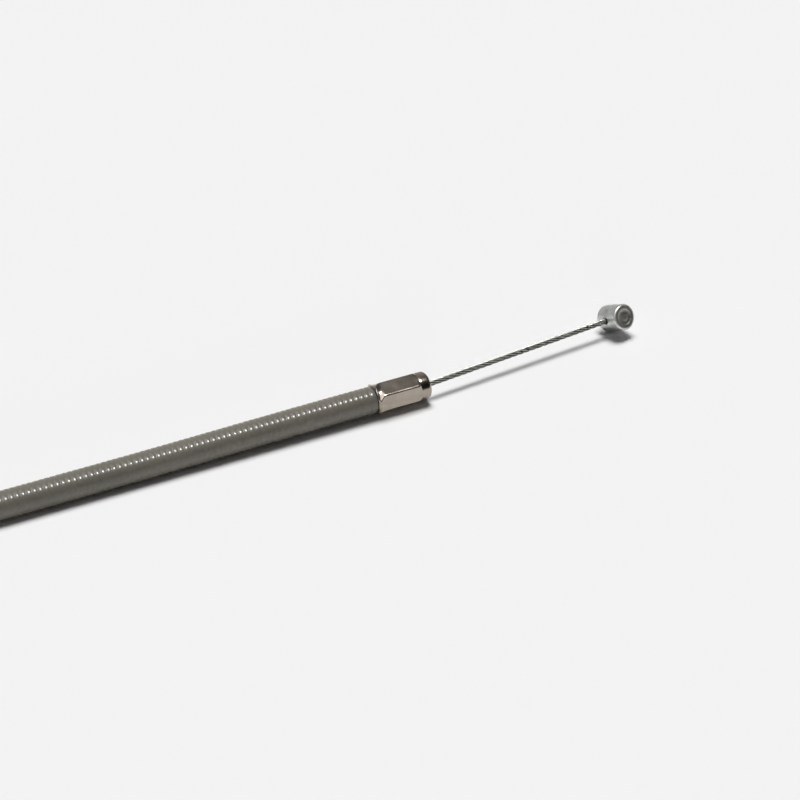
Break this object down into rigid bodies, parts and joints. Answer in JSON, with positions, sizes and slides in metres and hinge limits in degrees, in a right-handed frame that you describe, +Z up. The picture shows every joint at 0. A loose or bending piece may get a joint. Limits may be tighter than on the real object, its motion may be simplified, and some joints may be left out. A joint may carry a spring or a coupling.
{
  "type": "front brake cable",
  "caption": "Front brake cable: stranded inner wire in a jacketed, wound casing with hex-crimped ferrules, a barrel nipple on the lever end and a capped wheel end, coiled.",
  "frame": {"origin": "middle of the footprint, on the surface that the cable lies on", "axes": "+X along the straight casing towards the lever end; +Z up"},
  "size_m": [0.2854, 0.0848, 0.0156],
  "materials": {
    "jacket": "satin",
    "conduit": "drawn",
    "liner": "smooth",
    "ferrule": "nickel plated",
    "wire": "galvanised",
    "nipple": "die cast zinc",
    "cap": "satin",
    "tie": "moulded"
  },
  "bodies": {
    "casing": {"casing_coil": "jacket", "coil_tie": "tie", "jacket_lever_run": "jacket", "conduit_lever_run": "conduit", "liner_lever_run": "liner", "ferrule_lever_end": "ferrule", "jacket_wheel_run": "jacket", "conduit_wheel_run": "conduit", "liner_wheel_run": "liner", "ferrule_wheel_end": "ferrule"},
    "lever_wire": {"inner_wire_lever_end": "wire", "barrel_nipple": "nipple"},
    "wheel_wire": {"inner_wire_wheel_end": "wire", "wire_end_cap": "cap"}
  },
  "joints": [
    {"name": "wire_pull", "type": "slide", "parent": "casing", "child": "lever_wire", "axis": [1, 0, 0], "range_m": [0, 0.015]},
    {"name": "wheel_wire_draw", "type": "slide", "parent": "casing", "child": "wheel_wire", "axis": [-1, 0, 0], "range_m": [0, 0.015]}
  ],
  "couplings": [
    {"joint": "wheel_wire_draw", "follows": "wire_pull", "ratio": 1}
  ]
}
